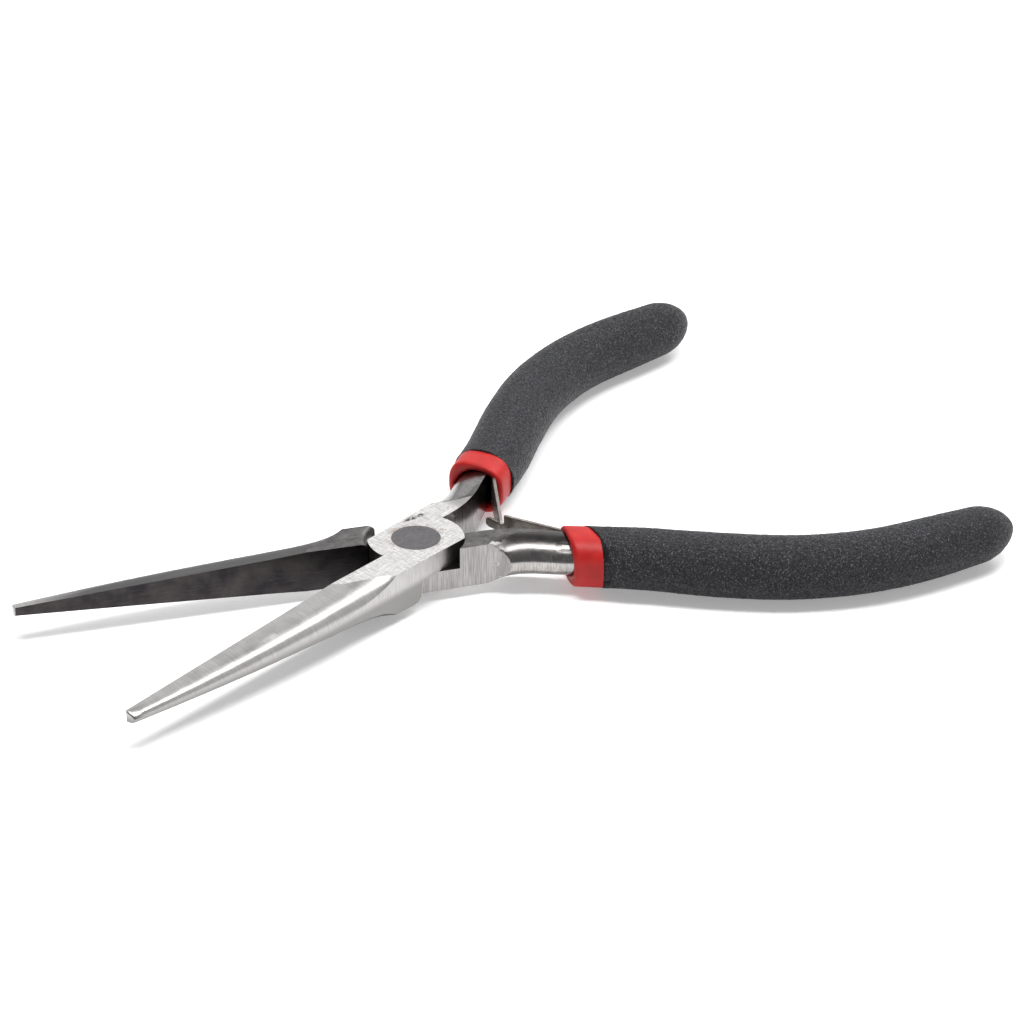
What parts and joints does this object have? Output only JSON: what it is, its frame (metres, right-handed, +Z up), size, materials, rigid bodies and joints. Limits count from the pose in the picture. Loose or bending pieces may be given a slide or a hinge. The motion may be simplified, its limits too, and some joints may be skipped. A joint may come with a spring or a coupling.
{
  "type": "long nose jewellery pliers",
  "caption": "Hand pliers with long smooth tapering half-round jaws, flat inside, on a riveted lap joint, spring-opened, with bowed foam-covered handles.",
  "frame": {"origin": "centre of the bounding box in plan, at the lowest point of the grips, which is the surface the tool lies on; spring-open rest pose", "axes": "+X towards the jaw tips along the centre line between the halves, +Z up along the pivot rivet, +Y towards the jaw of the upper half"},
  "size_m": [0.143, 0.094, 0.0103],
  "materials": {
    "forged_steel": "ground flats with fine scratches, darker oxide on the unground faces",
    "rivet_steel": "dark, dull, ground flush",
    "spring_steel": "satin, faint brown tint",
    "red_vinyl": "glossy, soft rounded lip",
    "black_foam": "matt, finely wrinkled"
  },
  "bodies": {
    "lower": {"lower_half": "forged_steel", "pivot_rivet": "rivet_steel", "lower_spring_rivet": "rivet_steel", "lower_sleeve": "red_vinyl", "lower_foam_grip": "black_foam"},
    "upper": {"upper_half": "forged_steel", "upper_spring_rivet": "rivet_steel", "upper_sleeve": "red_vinyl", "upper_foam_grip": "black_foam"},
    "lower_leaf": {"lower_leaf_spring": "spring_steel"},
    "upper_leaf": {"upper_leaf_spring": "spring_steel"}
  },
  "joints": [
    {"name": "jaw_pivot", "type": "hinge", "parent": "lower", "child": "upper", "pos_m": [0.01095, 0, 0.00515], "axis": [0, 0, -1], "range_deg": [0, 32.8], "stiffness_Nm_per_rad": 0.35, "deforming": ["lower_leaf_spring", "upper_leaf_spring"]},
    {"name": "lower_leaf_flex", "type": "hinge", "parent": "lower", "child": "lower_leaf", "pos_m": [-0.01187, 0.01299, 0.00515], "axis": [0, 0, 1], "range_deg": [0, 23], "deforming": ["lower_leaf_spring"]},
    {"name": "upper_leaf_flex", "type": "hinge", "parent": "upper", "child": "upper_leaf", "pos_m": [-0.01187, -0.01299, 0.00515], "axis": [0, 0, -1], "range_deg": [0, 23], "deforming": ["upper_leaf_spring"]}
  ],
  "couplings": [
    {"joint": "lower_leaf_flex", "follows": "jaw_pivot", "ratio": 0.7},
    {"joint": "upper_leaf_flex", "follows": "jaw_pivot", "ratio": 0.7}
  ]
}
